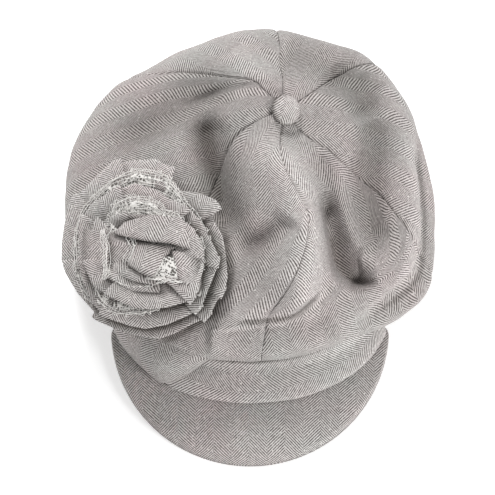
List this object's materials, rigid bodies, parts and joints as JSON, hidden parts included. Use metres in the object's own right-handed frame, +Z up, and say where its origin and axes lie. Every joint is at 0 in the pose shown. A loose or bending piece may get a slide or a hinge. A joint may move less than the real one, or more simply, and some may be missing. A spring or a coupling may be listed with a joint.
{
  "type": "newsboy cap",
  "caption": "Slouchy gored newsboy cap of herringbone linen with an elastic-backed band, a stitched visor, a covered top button and a pleated fabric rosette on one side.",
  "frame": {"origin": "centre of the head opening, in the plane that the cap rests on", "axes": "+Z up, -Y towards the visor, -X towards the wearer's right, where the rosette is"},
  "size_m": [0.266, 0.3244, 0.1051],
  "materials": {
    "linen_herringbone": "matte woven herringbone",
    "gauze": "frayed open gauze",
    "felt": "matte felt",
    "lining_cloth": "smooth woven lining",
    "sweatband_cotton": "cotton twill",
    "elastic": "ribbed elastic",
    "visor_plastic": "matte board",
    "button_metal": "satin"
  },
  "bodies": {
    "crown": {"back_band": "linen_herringbone", "back_elastic": "elastic", "button_back_plate": "button_metal", "button_cover": "linen_herringbone", "button_shell": "button_metal", "crown_gore_back_left": "linen_herringbone", "crown_gore_back_right": "linen_herringbone", "crown_gore_front_left": "linen_herringbone", "crown_gore_front_right": "linen_herringbone", "crown_gore_side_left": "linen_herringbone", "crown_gore_side_right": "linen_herringbone", "front_band": "linen_herringbone", "lining_panel_back_left": "lining_cloth", "lining_panel_back_right": "lining_cloth", "lining_panel_front_left": "lining_cloth", "lining_panel_front_right": "lining_cloth", "lining_panel_side_left": "lining_cloth", "lining_panel_side_right": "lining_cloth", "rosette_backing": "felt", "rosette_center_fold": "linen_herringbone", "rosette_gauze_inner": "gauze", "rosette_gauze_middle": "gauze", "rosette_gauze_outer": "gauze", "rosette_ruffle_inner": "linen_herringbone", "rosette_ruffle_outer": "linen_herringbone", "rosette_ruffle_second": "linen_herringbone", "rosette_ruffle_third": "linen_herringbone", "sweatband": "sweatband_cotton"},
    "visor": {"visor_board": "visor_plastic", "visor_top_cover": "linen_herringbone", "visor_under_cover": "linen_herringbone"}
  },
  "joints": [
    {"name": "visor_tilt", "type": "hinge", "parent": "crown", "child": "visor", "pos_m": [0, -0.018, 0.002], "axis": [-1, 0, 0], "range_deg": [-6, 8], "stiffness_Nm_per_rad": 1.5}
  ]
}
